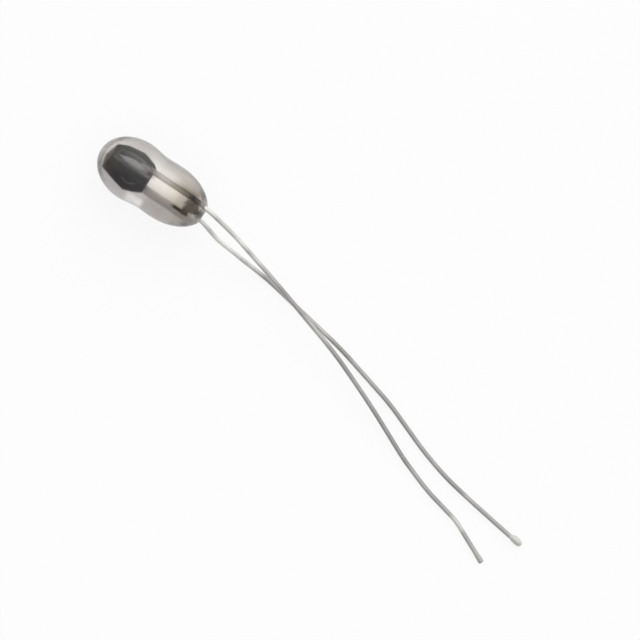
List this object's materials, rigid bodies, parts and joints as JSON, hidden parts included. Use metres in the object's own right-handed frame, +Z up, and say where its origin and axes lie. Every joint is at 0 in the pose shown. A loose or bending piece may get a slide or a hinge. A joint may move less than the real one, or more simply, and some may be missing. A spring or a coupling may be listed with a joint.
{
  "type": "bead thermistor",
  "caption": "Glass-sealed bead thermistor: a dark sensing chip in a clear rounded glass capsule, with bare tinned wire leads that cross and lie on the surface below it.",
  "frame": {"origin": "on the plane that the part lies on, straight below the middle of the bead's head, where the glass touches the plane", "axes": "+X along the capsule from its head towards the leads, +Z up from the plane"},
  "size_m": [0.0189, 0.0056, 0.0021],
  "materials": {
    "clear_glass": "clear, fire polished",
    "chip_ceramic": "matt, sintered",
    "electrode_film": "dull fired metal film",
    "bond_paste": "matt fired paste",
    "tinned_wire": "tinned, satin"
  },
  "bodies": {
    "root": {"glass_capsule": "clear_glass", "thermistor_chip": "chip_ceramic", "upper_electrode": "electrode_film", "lower_electrode": "electrode_film", "upper_bond": "bond_paste", "lower_bond": "bond_paste", "upper_lead": "tinned_wire", "lower_lead": "tinned_wire"}
  },
  "joints": []
}
